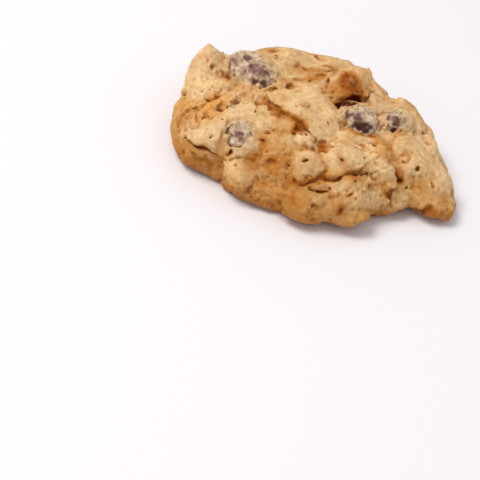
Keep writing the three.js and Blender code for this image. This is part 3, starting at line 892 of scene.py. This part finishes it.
STREWN_SLABS = Strewn(170, (6.0, 14.0), (0.4, 1.2), wobble=0.16, lip=0.35, edge=0.9, spared=SPARED)
DABS = Strewn(420, (1.8, 4.2), (0.15, 0.55), wobble=0.2, lip=0.1, edge=0.6, spared=0.0)
CRUMBS = Strewn(1100, (0.9, 2.2), (0.1, 0.4), wobble=0.15, lip=0.1, edge=0.4, spared=0.0)
CRACKS = {"count": 70, "long": (3.0, 8.0), "width": (0.5, 1.1), "depth": (0.4, 1.4)}
PORES = {"count": 800, "radius": (0.2, 0.5)}
SLAB_WIDTH = (0.55, 0.9)  # share of its length
LEAN = 0.06  # spread of the slope of a strewn slab's top
BENDS = (-0.5, -0.2, 0.2, 0.5)  # shares of a crack's length at which it bends
BEND = 0.15  # spread of the bends, as a share of its length
PORE_SUNK = 0.3  # share of its radius that a pore's middle lies under the surface
PORE_ROUNDED = 0.15  # mm, rounding of its mouth


def surface_places(dough, count, lowest):
    """Random places on the solid above a level, evenly by area."""
    points, triangles = dough.surface
    a, b, c = (points[triangles[:, i]] for i in range(3))
    area = np.linalg.norm(np.cross(b - a, c - a), axis=1)
    weight = area * ((a[:, 2] + b[:, 2] + c[:, 2]) / 3 > lowest)
    chosen = rng.choice(len(area), count, p=weight / weight.sum())
    u, v = rng.random((2, count, 1))
    over = u + v > 1
    u, v = np.where(over, 1 - u, u), np.where(over, 1 - v, v)
    return a[chosen] + u * (b - a)[chosen] + v * (c - a)[chosen]


def between(limits, share):
    return limits[0] + (limits[1] - limits[0]) * share


def tangents(dough, place):
    """Two directions along the bare dough at a place, turned at random."""
    normal = dough.normal(place)
    long = unit(np.cross(normal, rng.standard_normal(3)))
    return long, np.cross(normal, long)


def uneven_side(patch, place, axes, long, wide, wobble):
    """Distance out of an uneven oval outline laid on the dough, mm, and both offsets."""
    off = patch.foot - place.astype(np.float32)
    x, y = (off @ axis.astype(np.float32) for axis in axes)
    angle = np.arctan2(y / wide, x / long)
    radius = 1 + sum(size * np.cos(times * angle + turn) for times, size, turn in wobble)
    return (np.hypot(x / (long / 2), y / (wide / 2)) - radius) * wide / 2, x, y


def lies_on_sheet(dough, place):
    """True at random places of the pale sheets, which are smoother than the dough between them."""
    return rng.random() < 1.4 * dough.block.at(dough.pale, place[None])[0]


def strew_slabs(dough, facts):
    for place in surface_places(dough, facts.count, 0.5):
        long = between(facts.long, rng.random() ** 1.3)
        wide = long * between(SLAB_WIDTH, rng.random())
        rise = between(facts.rise, rng.random())
        lean = rng.normal(0, LEAN, 2)
        wobble = [
            (times, facts.wobble * rng.random(), rng.uniform(0, 2 * math.pi))
            for times in (2, 3, 5)
        ]
        tones = rng.random() ** 1.4, max(0.0, rng.normal(-0.1, 0.35))
        axes = tangents(dough, place)
        if rng.random() < facts.spared and dough.is_shown(place):
            continue
        if facts.spared == 0 and lies_on_sheet(dough, place):
            continue
        patch = Patch(dough, place, long / 2 * 1.3 + 1.5)
        side, x, y = uneven_side(patch, place, axes, long, wide, wobble)
        top = rise + lean[0] * x + lean[1] * y
        dough.slab(patch, side, top, facts.lip, facts.edge, tones)


def strew_cracks(dough):
    for place in surface_places(dough, CRACKS["count"], 1.0):
        long = between(CRACKS["long"], rng.random() ** 1.5)
        width = between(CRACKS["width"], rng.random())
        depth = between(CRACKS["depth"], rng.random())
        way, across = tangents(dough, place)
        offsets = rng.normal(0, BEND, len(BENDS)) * long
        if rng.random() < SPARED and dough.is_shown(place):
            continue
        chain = [place + way * long * share + across * off for share, off in zip(BENDS, offsets)]
        patch, away = patch_along(dough, np.array(chain))
        dough.crevice(patch, away, width, depth)


def strew_pores(dough):
    for place in surface_places(dough, PORES["count"], 0.6):
        radius = between(PORES["radius"], rng.random() ** 2)
        if lies_on_sheet(dough, place):
            continue
        normal = dough.normal(place, spread=0.6)
        slices, points = dough.block.window(place, 2.5)
        start = place - normal * dough.block.at(dough.field, place[None])[0]
        middle = start - normal * radius * PORE_SUNK
        away = np.linalg.norm(points - middle, axis=-1) - radius
        dough.cut(slices, away, PORE_ROUNDED)


# ---- dough over the raisins

THIN, THICK = 0.08, 0.7  # mm of dough over a raisin, at the window and well away from it
THINS_OVER = 2.4  # mm from the window to where the dough has its full thickness
COVER_EDGE = 0.3  # mm, rounding of the cover's edge
COVER_JOIN = 0.7  # mm, fillet to the dough round it
COVER_PALE = 0.4  # tone of the cover
CLING = 0.25  # mm that the dough reaches into the skin
HIDDEN_WINDOW = 3.7  # mm, radius of the bare part of a raisin that the photograph doesn't show
RAGGED = 0.45  # mm, unevenness of a window's edge

# The bare part of each raisin that the photograph shows, as an outline in pixels.
WINDOWS = {
    "raisin_top_left": (
        (226, 54), (231, 46), (244, 44), (256, 49), (264, 61), (271, 70), (275, 78), (275, 85),
        (265, 90), (257, 86), (248, 83), (238, 77), (231, 74), (226, 66)),
    "raisin_front_left": (
        (225, 138), (229, 128), (237, 122), (246, 122), (251, 128), (250, 137), (245, 143),
        (239, 146), (231, 148)),
    "raisin_top_right": (
        (342, 111), (350, 109), (362, 109), (374, 112), (380, 118), (380, 127), (376, 134),
        (366, 135), (354, 129), (346, 121)),
    "raisin_right": (
        (385, 114), (392, 110), (400, 113), (405, 121), (402, 130), (394, 133), (386, 129)),
}


def shown_window(dough, points, centre, outline):
    """How far inside an outline in the photograph the points lie, mm, in front of a centre."""
    outline = rounded_off(outline, closed=True)
    inside = -out_of_polygon(dough.photo.project(points), outline)
    ahead = (points - centre) @ unit(dough.photo.place - centre)
    return np.minimum(inside, ahead)


def cover_raisins(dough):
    """Closes the dough over each raisin, thinning out to a window that leaves the skin bare."""
    ragged = RAGGED * dough.block.noise(2.4)
    for name, raisin in dough.raisins.items():
        corners, _ = cad_triangles(name)
        centre = (corners.min(0) + corners.max(0)) / 2
        patch = Patch(dough, centre, np.ptp(corners, axis=0).max() / 2 + 3.0)
        if name in WINDOWS:
            window = shown_window(dough, patch.points, centre, WINDOWS[name])
        else:
            pole = centre + dough.normal(centre, spread=3.0) * (HIDDEN_WINDOW + 1.0)
            window = HIDDEN_WINDOW - np.linalg.norm(patch.points - pole, axis=-1)
        window = window.astype(np.float32) + ragged[patch.slices]
        depth = between((THIN, THICK), np.clip(-window / THINS_OVER, 0, 1))
        cover = rounded_corner(raisin[patch.slices] - depth, window, COVER_EDGE)
        dough.add(patch.slices, cover, COVER_JOIN, COVER_PALE, 0.0)
        dough.field[patch.slices] = rounded_corner(dough.field[patch.slices], window, COVER_EDGE)


# ---- underside and pockets

HOLLOWS = 0.5  # mm deep where the swells of the underside have the size 1
FLATS = 0.25  # size of swell below which the underside is flat


def flatten_underside(dough):
    """Cuts the dough flat where it lay on the tray, with shallow hollows between the flats."""
    block = dough.block
    swell = 0.6 * block.noise(7.0) + 0.35 * block.noise(3.0)
    hollow = HOLLOWS * np.maximum(swell[:, :, block.shape[2] // 2, None] - FLATS, 0)
    height = block.axis[2][None, None, :]
    dough.field = rounded_corner(dough.field, hollow - height, soft=0.6)
    dough.field = np.maximum(dough.field, -height)


def open_pockets(dough):
    """Cuts the raisins out of the dough, which clings to their skins."""
    for raisin in dough.raisins.values():
        dough.field = np.maximum(dough.field, -CLING - raisin)


# ---- meshes

TRIANGLE_BUDGET = 194_000
NEARBY = 3.0  # mm, where distances are cut off before a field is blurred


def mesh_object(name, points, faces):
    mesh = bpy.data.meshes.new(name)
    mesh.vertices.add(len(points))
    mesh.vertices.foreach_set("co", (np.asarray(points, np.float32) * MM).ravel())
    mesh.loops.add(faces.size)
    mesh.loops.foreach_set("vertex_index", faces.astype(np.int32).ravel())
    mesh.polygons.add(len(faces))
    starts = np.arange(0, faces.size, faces.shape[1], dtype=np.int32)
    mesh.polygons.foreach_set("loop_start", starts)
    mesh.update(calc_edges=True)
    mesh.validate()
    mesh.shade_smooth()
    return new_object(name, mesh)


def thin_out(piece, ratio):
    """Merges the faces of a mesh down to a share of them."""
    piece.modifiers.new("triangles", "TRIANGULATE")
    piece.modifiers.new("fewer", "DECIMATE").ratio = ratio
    seen = piece.evaluated_get(bpy.context.evaluated_depsgraph_get())
    finished = bpy.data.meshes.new_from_object(seen)
    piece.modifiers.clear()
    old = piece.data
    piece.data = finished
    bpy.data.meshes.remove(old)
    finished.name = piece.name
    finished.shade_smooth()


def vertex_points(piece):
    return rows_of(piece.data.vertices, "co") / MM


def paint(piece, name, values):
    layer = piece.data.attributes.new(name, "FLOAT", "POINT")
    layer.data.foreach_set("value", np.asarray(values, np.float32))


def biggest_part(points, faces):
    """The largest connected part of a mesh, without stray crumbs."""
    label = np.arange(len(points))
    while True:
        low = label[faces].min(axis=1)
        new = label.copy()
        np.minimum.at(new, faces.ravel(), np.repeat(low, faces.shape[1]))
        new = new[new]
        if np.array_equal(new, label):
            break
        label = new
    names, counts = np.unique(label, return_counts=True)
    keep = label == names[counts.argmax()]
    index = np.cumsum(keep) - 1
    return points[keep], index[faces[keep[faces[:, 0]]]]


def sculpt_dough(photo):
    low, high = (np.array(corner) / MM for corner in cad_box)
    dough = Dough(Block(low - MARGIN, high + MARGIN, STEP), photo)
    strew_slabs(dough, STREWN_SLABS)
    for slab in SLABS:
        lay_slab(dough, slab)
    for lump in LUMPS:
        lay_lump(dough, lump)
    strew_slabs(dough, DABS)
    strew_slabs(dough, CRUMBS)
    for ridge in RIDGES:
        lay_ridge(dough, ridge)
    cover_raisins(dough)
    roughen(dough)
    dough.field = trimmed_to_outline(dough.block, dough.field, photo)
    strew_cracks(dough)
    for crevice in CREVICES:
        carve_crevice(dough, crevice)
    for hole in HOLES:
        carve_hole(dough, hole)
    strew_pores(dough)
    flatten_underside(dough)
    dough.closed = dough.block.blurred(np.clip(dough.field, -NEARBY, NEARBY), 0.3)
    open_pockets(dough)
    return dough


def make_dough(dough):
    """The mesh of the dough, with what its material reads painted on the vertices."""
    block = dough.block
    surface, quads = biggest_part(*block.mesh(dough.field))
    piece = mesh_object("cookie_dough", surface, quads)
    thin_out(piece, min(1.0, TRIANGLE_BUDGET / (2 * len(quads))))
    places = vertex_points(piece)

    def blurred_at_places(field, radius):
        return block.at(block.blurred(field, radius), places)

    strewn = {
        "pale": blurred_at_places(dough.pale, 0.7),
        "toast_and_shade": blurred_at_places(dough.toast_and_shade, 0.45),
        "film": 0.0,
        "gold": 0.0,
    }
    for name, tone in strewn.items():
        paint(piece, name, tone + tinted(dough, piece, places, name))
    clipped = np.clip(dough.field, -NEARBY, NEARBY)
    paint(piece, "hollow", -blurred_at_places(clipped, 1.5))
    paint(piece, "nick", -blurred_at_places(clipped, 0.6))
    nearest = np.minimum.reduce(list(dough.raisins.values()))
    paint(piece, "raisin_gap", block.at(nearest, places))
    return piece


# ---- materials


def linear(red, green, blue):
    """A colour given as it looks in a picture, 0 to 255, as scene-linear RGBA."""
    parts = (value / 255 for value in (red, green, blue))
    lights = (p / 12.92 if p <= 0.04045 else ((p + 0.055) / 1.055) ** 2.4 for p in parts)
    return (*lights, 1.0)


class Nodes:
    """Short ways to write a material's nodes."""

    def __init__(self, name):
        self.material = bpy.data.materials.new(name)
        self.material.use_nodes = True
        self.tree = self.material.node_tree
        self.tree.nodes.clear()
        output = self.tree.nodes.new("ShaderNodeOutputMaterial")
        self.shader = self.tree.nodes.new("ShaderNodeBsdfPrincipled")
        self.tree.links.new(self.shader.outputs[0], output.inputs["Surface"])
        self.place = self.tree.nodes.new("ShaderNodeTexCoord").outputs["Object"]

    def feed(self, node, values):
        """Sets inputs of a node, or links them where the value is another node's output."""
        for name, value in values.items():
            if isinstance(value, bpy.types.NodeSocket):
                self.tree.links.new(value, node.inputs[name])
            else:
                node.inputs[name].default_value = value
        return node

    def attribute(self, name):
        node = self.tree.nodes.new("ShaderNodeAttribute")
        node.attribute_name = name
        return node.outputs["Fac"]

    def noise(self, size, detail=2.0, roughness=0.5):
        """Noise whose spots are about size mm across, 0 to 1."""
        values = {"Scale": 0.5 / (size * MM), "Detail": detail, "Roughness": roughness}
        node = self.tree.nodes.new("ShaderNodeTexNoise")
        return self.feed(node, {"Vector": self.place, **values}).outputs["Fac"]

    def ramp(self, value, low, high, start=0.0, end=1.0):
        """value taken from low..high to start..end, with smooth ends."""
        limits = {"From Min": low, "From Max": high, "To Min": start, "To Max": end}
        node = self.tree.nodes.new("ShaderNodeMapRange")
        node.interpolation_type = "SMOOTHSTEP"
        return self.feed(node, {"Value": value, **limits}).outputs["Result"]

    def math(self, operation, a, b):
        node = self.tree.nodes.new("ShaderNodeMath")
        node.operation = operation
        return self.feed(node, {0: a, 1: b}).outputs[0]

    def plus(self, a, b):
        return self.math("ADD", a, b)

    def times(self, a, b):
        return self.math("MULTIPLY", a, b)

    def mix(self, share, a, b, blend="MIX"):
        node = self.tree.nodes.new("ShaderNodeMix")
        node.data_type = "RGBA"
        node.blend_type = blend
        return self.feed(node, {"Factor": share, "A": a, "B": b}).outputs["Result"]

    def bump(self, height, depth, **normal):
        """A bump whose full height is depth mm, on top of another bump's Normal if it is given."""
        node = self.tree.nodes.new("ShaderNodeBump")
        values = {"Strength": 1.0, "Distance": depth * MM, "Height": height, **normal}
        return self.feed(node, values).outputs["Normal"]

    def height(self):
        """Height over the underside, mm."""
        node = self.feed(self.tree.nodes.new("ShaderNodeSeparateXYZ"), {0: self.place})
        return self.math("DIVIDE", node.outputs["Z"], MM)


GOLDEN = linear(198, 147, 84)
PALE = linear(229, 193, 143)
TOASTED = linear(184, 121, 52)
BROWNED = linear(156, 80, 22)
BAKED_RIM = linear(168, 108, 56)
# painted shade, the colour of the hollows and nicks
CREASE_SHADE = linear(176, 106, 38)
GOLD = linear(222, 160, 82)
# painted shade, deep in crevices and holes and under overhangs
DEEP_SHADE = linear(76, 28, 6)
FILM = linear(206, 176, 136)


def baked_crumb(n):
    """Golden to pale, paler towards the top, toasted in spots, and browned further where shade is
    painted.
    """
    # The pale tone is the crust's own, and on some sides turned from the lamp painted light.
    pale = n.plus(n.times(n.attribute("pale"), 0.5), n.ramp(n.noise(2.6, 4), 0.3, 0.7, -0.3, 0.4))
    pale = n.plus(pale, n.ramp(n.height(), 5.0, 15.0, -0.1, 0.3))
    colour = n.mix(n.ramp(pale, -0.1, 1.1), GOLDEN, PALE)
    # The toast tone browns the crust; near crevices and holes and under the knob it is painted
    # shade.
    toast_and_shade = n.plus(n.attribute("toast_and_shade"), n.ramp(n.noise(1.8, 4, 0.6), 0.46, 0.75, 0.0, 0.6))
    colour = n.mix(n.ramp(toast_and_shade, 0.0, 1.0), colour, TOASTED)
    return n.mix(n.ramp(toast_and_shade, 0.8, 1.6), colour, BROWNED)


def rim_and_freckles(n, colour):
    """Browner towards the tray, with fine freckles, and gold where it is painted."""
    uneven = n.ramp(n.noise(4, 3), 0.3, 0.7, 0.0, 0.3)
    rim = n.math("SUBTRACT", n.ramp(n.height(), 0.5, 7.0, 0.95, 0.0), uneven)
    colour = n.mix(n.ramp(rim, 0.0, 1.0), colour, BAKED_RIM)
    colour = n.mix(n.ramp(n.noise(0.7, 3, 0.6), 0.45, 0.75, 0.0, 0.38), colour, TOASTED)
    gold = n.times(n.attribute("gold"), n.ramp(n.noise(1.2, 3), 0.25, 0.6, 0.4, 1.0))
    return n.mix(gold, colour, GOLD)


def film_and_crease_shade(n, colour):
    """A grey film of dough by the raisins, and painted shade in hollows and nicks away from it."""
    gap, film = n.attribute("raisin_gap"), n.attribute("film")
    clear = n.times(n.ramp(gap, 0.2, 0.9), n.ramp(film, 0.1, 0.6, 1.0, 0.4))
    colour = n.mix(n.ramp(gap, 0.1, 0.75, 0.8, 0.0), colour, FILM)
    colour = n.mix(n.ramp(n.plus(film, n.noise(1.5, 3)), 0.5, 1.3), colour, FILM)
    # Painted shade: the hollows and nicks of the dough darken to the crease colour.
    hollow = n.times(clear, n.ramp(n.attribute("hollow"), -0.05, 0.55, 0.0, 0.75))
    colour = n.mix(hollow, colour, CREASE_SHADE)
    nick = n.times(clear, n.ramp(n.attribute("nick"), 0.0, 0.3, 0.0, 0.7))
    colour = n.mix(nick, colour, CREASE_SHADE)
    # Deep painted shade where the toast tone passes 1.4: in crevices and holes, under the knob and
    # below the raisins.
    return n.mix(n.ramp(n.attribute("toast_and_shade"), 1.4, 2.2), colour, DEEP_SHADE)


def dough_material():
    n = Nodes("baked_oat_dough")
    colour = film_and_crease_shade(n, rim_and_freckles(n, baked_crumb(n)))
    grain = n.ramp(n.noise(0.5, 4, 0.65), 0.28, 0.72, 0.84, 1.13)
    coarse = n.bump(n.noise(0.9, 4, 0.6), 0.22)
    n.feed(n.shader, {
        "Base Color": n.mix(1.0, colour, grain, "MULTIPLY"),
        "Roughness": 0.8,
        "Specular IOR Level": 0.1,
        "Subsurface Weight": 0.15,
        "Subsurface Radius": (1.0, 0.5, 0.2),
        "Subsurface Scale": 1.0 * MM,
        "Normal": n.bump(n.noise(0.35, 2, 0.6), 0.08, Normal=coarse),
    })
    return n.material


SKIN = linear(132, 90, 78)
SKIN_DARK = linear(66, 28, 18)
FILM_PALE = linear(222, 198, 166)
FILM_GREY = linear(168, 140, 114)


def raisin_material():
    """Mauve-brown skin, under a film of dough in specks and where the dough is near."""
    n = Nodes("raisin_skin")
    dark, near = n.attribute("dark"), n.attribute("clear_of_dough")
    # dark is the skin's own, and at the foot of the top right raisin also painted shadow.
    skin = n.mix(n.ramp(dark, 0.1, 0.9), SKIN, SKIN_DARK)
    skin = n.mix(1.0, skin, n.ramp(n.noise(1.2, 3), 0.3, 0.7, 0.75, 1.2), "MULTIPLY")
    film = n.mix(n.ramp(n.noise(0.9, 3), 0.35, 0.65), FILM_GREY, FILM_PALE)
    specks = n.plus(n.ramp(n.noise(0.9, 3, 0.6), 0.25, 0.75, -0.6, 0.6), n.attribute("bare"))
    specks = n.plus(specks, n.ramp(near, 0.1, 0.9, -0.8, 0.0))
    filmed = n.ramp(dark, 0.6, 0.85, 1.0, 0.15)
    share = n.times(n.ramp(specks, 0.7, -0.6), filmed)
    smear = n.times(filmed, n.ramp(near, 0.0, 0.7, 0.9, 0.0))
    n.feed(n.shader, {
        "Base Color": n.mix(smear, n.mix(share, skin, film), FILM),
        "Roughness": n.ramp(share, 0.0, 1.0, 0.42, 0.8),
        "Specular IOR Level": 0.3,
        "Normal": n.bump(n.noise(0.5, 3, 0.6), 0.1),
    })
    return n.material


# ---- raisins

RAISIN_STEP = 0.22  # mm between samples
RAISIN_MARGIN = 2.0  # mm
SKIN_SINKS = 0.12  # mm, so that its wrinkles stand about as far out as in
FILM_STARTS = 0.5  # bareness under which a film of dough lies on the skin
FILM_THICK, FILM_UNEVEN = 0.1, 0.14  # mm
DARK_PULL = 5.0  # how strongly the nearest bare patch decides how dark the skin is


class Bare(NamedTuple):
    """An oval patch of bare skin between the film of dough on a shown raisin."""

    at: tuple  # pixel of the middle
    half: tuple  # half sizes, pixels
    dark: float  # from the skin's own colour, 0, to its darkest, 1; at the foot of the top right raisin also painted shadow
    turn: float = 0  # degrees


BARE_PATCHES = {
    "raisin_top_left": (
        Bare((257, 71), (11, 6.5), dark=0.15, turn=12),
        Bare((267, 73), (4, 7), dark=0.6, turn=-30),
        Bare((262, 84), (11, 5), dark=0.6, turn=15),
        Bare((248, 58), (5, 2.4), dark=0.5, turn=10),
        Bare((235, 61), (3.5, 4.5), dark=0.0),
        Bare((229, 66), (2, 6), dark=0.0),
    ),
    "raisin_front_left": (
        Bare((237, 133), (5.5, 4), dark=0.35, turn=-10),
        Bare((240, 139), (2, 3), dark=0.1),
        Bare((228, 131), (2, 4), dark=0.3, turn=20),
    ),
    "raisin_top_right": (
        Bare((349, 111), (8, 6), dark=0.5, turn=30),
        Bare((357, 117), (11, 5), dark=0.4, turn=35),
        # partly the skin's own dark, partly painted shadow cast by the dough in front of its foot
        Bare((367, 130), (14, 7), dark=0.9, turn=20),
        Bare((353, 108), (10, 3.5), dark=0.2, turn=5),
    ),
    "raisin_right": (
        Bare((398, 122), (6, 7), dark=0.6, turn=-20),
        Bare((387, 118), (3.5, 3.5), dark=0.4),
        Bare((393, 130), (6, 3), dark=0.9),
    ),
}


def bareness(photo, patches, points, ragged):
    """How bare of dough a shown raisin's skin is at points, -1 to 1, and how dark, 0 to 1."""
    px = photo.project(points)
    bare = np.full(points.shape[:-1], -1.0, np.float32)
    dark = np.zeros(points.shape[:-1], np.float32)
    total = np.full(points.shape[:-1], 1e-6, np.float32)
    for patch in patches:
        here = 1 - oval_size(px, patch) + 0.4 * ragged
        weight = np.exp(DARK_PULL * here)
        dark += weight * patch.dark
        total += weight
        bare = np.maximum(bare, here)
    return bare, dark / total * np.clip(0.7 + 2 * bare, 0, 1)


def raisin_tones(name, block, photo):
    """How bare of dough the skin is, and how dark, on a block of samples."""
    ragged = 0.7 * block.noise(3.0) + 0.5 * block.noise(1.3)
    if name in BARE_PATCHES:
        return bareness(photo, BARE_PATCHES[name], block.places(), ragged)
    bare = 0.35 + 0.5 * block.noise(6.0) + 0.2 * ragged
    return bare, np.clip(0.5 + 0.3 * block.noise(4.0), 0, 1)


def make_raisin(name, dough, material):
    points, triangles = cad_triangles(name)
    low, high = points.min(0), points.max(0)
    block = Block(low - RAISIN_MARGIN, high + RAISIN_MARGIN, RAISIN_STEP)
    field = block.blurred(block.distance(points, triangles), 0.5)
    wrinkles = 0.2 * np.abs(block.noise(4.0)) + 0.05 * block.noise(1.6)
    field += wrinkles - SKIN_SINKS
    bare, dark = raisin_tones(name, block, dough.photo)
    bare = np.clip(bare, -1, 1).astype(np.float32)
    film = FILM_THICK + FILM_UNEVEN * block.noise(1.3)
    field -= np.clip(FILM_STARTS - bare, 0, 1) * film
    if name in BARE_PATCHES:
        field = trimmed_to_outline(block, field, dough.photo)
    piece = mesh_object(name + "_skin", *biggest_part(*block.mesh(field)))
    places = vertex_points(piece)
    paint(piece, "bare", block.at(bare, places))
    paint(piece, "dark", block.at(dark, places))
    clear = np.clip(dough.closed, -NEARBY, NEARBY)
    paint(piece, "clear_of_dough", dough.block.at(clear, places))
    piece.data.materials.append(material)
    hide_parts(name)
    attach(piece, "root")


# ---- studio

FLOOR_HALF = 3.0  # m
KEY_PLACE = (-0.38, -0.08, 0.74)  # m
KEY_SIZE = 0.45  # m across
KEY_WATTS = 4.3
KEY_COLOUR = (1.0, 0.98, 0.95)
WORLD_COLOUR = (1.0, 0.99, 1.0, 1.0)
WORLD_STRENGTH = 0.61


def add_floor():
    mesh = bpy.data.meshes.new("floor")
    corners = [(x * FLOOR_HALF, y * FLOOR_HALF, 0) for x, y in ((-1, -1), (1, -1), (1, 1), (-1, 1))]
    mesh.from_pydata(corners, [], [(0, 1, 2, 3)])
    floor = new_object("floor", mesh)
    n = Nodes("floor_white")
    n.feed(n.shader, {"Base Color": linear(240, 238, 242), "Roughness": 0.9})
    mesh.materials.append(n.material)


def add_lights():
    data = bpy.data.lights.new("key_left", "AREA")
    data.shape = "DISK"
    data.size = KEY_SIZE
    data.energy = KEY_WATTS
    data.color = KEY_COLOUR
    light = new_object("key_left", data)
    light.location = KEY_PLACE
    light.rotation_euler = (-Vector(KEY_PLACE)).to_track_quat("-Z", "Y").to_euler()
    world = bpy.data.worlds.new("studio")
    world.use_nodes = True
    background = world.node_tree.nodes["Background"]
    background.inputs["Color"].default_value = WORLD_COLOUR
    background.inputs["Strength"].default_value = WORLD_STRENGTH
    bpy.context.scene.world = world
    bpy.context.scene.view_settings.view_transform = "Standard"


# ---- build

photo_camera = PhotoCamera()
add_camera(photo_camera)
add_floor()
add_lights()

sculpted = sculpt_dough(photo_camera)
dough_piece = make_dough(sculpted)
dough_piece.data.materials.append(dough_material())
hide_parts("dough")
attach(dough_piece, "root")

skin_material = raisin_material()
for node_name in RAISIN_NODES:
    make_raisin(node_name, sculpted, skin_material)
